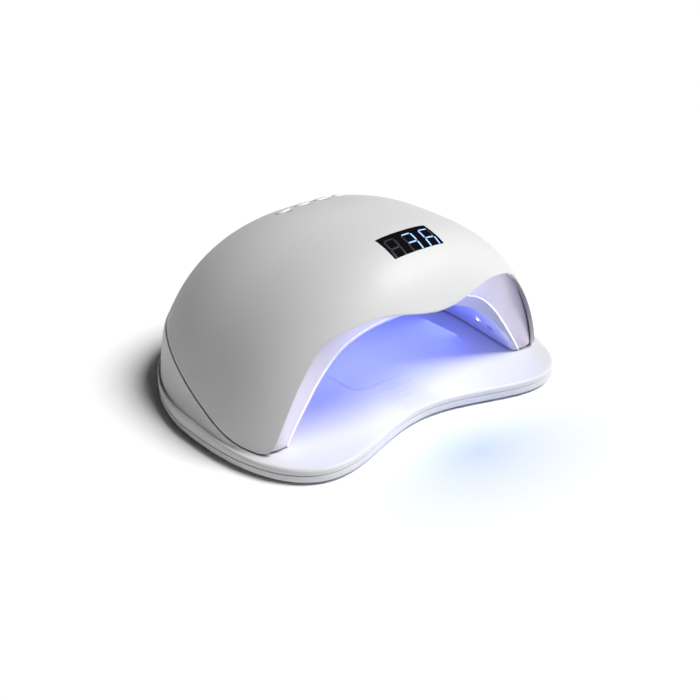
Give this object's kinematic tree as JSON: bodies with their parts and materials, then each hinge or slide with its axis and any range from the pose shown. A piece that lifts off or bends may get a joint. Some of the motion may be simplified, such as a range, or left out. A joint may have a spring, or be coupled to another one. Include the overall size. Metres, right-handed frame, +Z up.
{
  "type": "uv curing lamp",
  "caption": "Domed curing lamp with an arched front opening, a reflector lined with violet emitters, push buttons and a digit display, on a lift-off tray.",
  "frame": {"origin": "under the middle of the lamp, on the plane of its four feet", "axes": "+X to the right seen from the front, +Y from the open front to the rear, +Z up"},
  "size_m": [0.23, 0.1989, 0.1076],
  "materials": {
    "white_shell": "satin-gloss white moulding",
    "white_tray": "satin-gloss white moulding",
    "white_bezel": "satin white moulding, washed with violet light",
    "white_liner": "bright white reflector moulding, washed with blue light",
    "white_button": "glossy white caps",
    "white_frame": "satin white moulding",
    "grey_rubber": "matte dark grey",
    "steel": "zinc-plated steel",
    "magnet_plating": "bright nickel plating",
    "window_black": "gloss black pane",
    "board_green": "green solder mask",
    "black_plastic": "satin black",
    "capacitor_can": "sleeved aluminium cans",
    "switch_plastic": "natural nylon",
    "led_strip_white": "white strip with blue-violet emitting beads",
    "lead_red": "red insulation"
  },
  "bodies": {
    "base": {"tray_cover": "white_tray", "bottom_plate": "white_tray", "foot_front_right": "grey_rubber", "foot_front_left": "grey_rubber", "foot_rear_right": "grey_rubber", "foot_rear_left": "grey_rubber", "base_screw_front_right": "steel", "base_screw_front_left": "steel", "base_screw_rear_right": "steel", "base_screw_rear_left": "steel", "keeper_front_right": "steel", "keeper_front_left": "steel", "keeper_rear_right": "steel", "keeper_rear_left": "steel"},
    "lamp_head": {"dome_shell": "white_shell", "head_frame": "white_frame", "front_bezel": "white_bezel", "reflector_liner": "white_liner", "led_strip_front": "led_strip_white", "led_strip_middle": "led_strip_white", "led_strip_rear": "led_strip_white", "ir_receiver": "black_plastic", "ir_emitter": "black_plastic", "main_board": "board_green", "inductor": "black_plastic", "capacitor_1": "capacitor_can", "capacitor_2": "capacitor_can", "driver_chip": "black_plastic", "led_connector": "switch_plastic", "display_window": "window_black", "display_module": "black_plastic", "display_board": "board_green", "button_board": "board_green", "dc_jack": "black_plastic", "dc_pin": "steel", "power_lead": "lead_red", "display_lead": "lead_red", "button_lead": "lead_red", "tact_switch_1": "switch_plastic", "tact_switch_2": "switch_plastic", "tact_switch_3": "switch_plastic", "tact_switch_4": "switch_plastic", "head_screw_front_right": "steel", "magnet_front_right": "magnet_plating", "head_screw_front_left": "steel", "magnet_front_left": "magnet_plating", "head_screw_rear_right": "steel", "magnet_rear_right": "magnet_plating", "head_screw_rear_left": "steel", "magnet_rear_left": "magnet_plating"},
    "button_10s_cap": {"button_10s": "white_button"},
    "button_30s_cap": {"button_30s": "white_button"},
    "button_60s_cap": {"button_60s": "white_button"},
    "button_99s_cap": {"button_99s": "white_button"}
  },
  "joints": [
    {"name": "head_lift", "type": "slide", "parent": "base", "child": "lamp_head", "axis": [0, 0, 1], "range_m": [0, 0.06]},
    {"name": "button_10s_press", "type": "slide", "parent": "lamp_head", "child": "button_10s_cap", "axis": [0.1195, -0.3099, -0.9432], "range_m": [0, 0.0008], "stiffness_N_per_m": 300},
    {"name": "button_30s_press", "type": "slide", "parent": "lamp_head", "child": "button_30s_cap", "axis": [0.0219, -0.3152, -0.9488], "range_m": [0, 0.0008], "stiffness_N_per_m": 300},
    {"name": "button_60s_press", "type": "slide", "parent": "lamp_head", "child": "button_60s_cap", "axis": [-0.0219, -0.3152, -0.9488], "range_m": [0, 0.0008], "stiffness_N_per_m": 300},
    {"name": "button_99s_press", "type": "slide", "parent": "lamp_head", "child": "button_99s_cap", "axis": [-0.1195, -0.3099, -0.9432], "range_m": [0, 0.0008], "stiffness_N_per_m": 300}
  ]
}
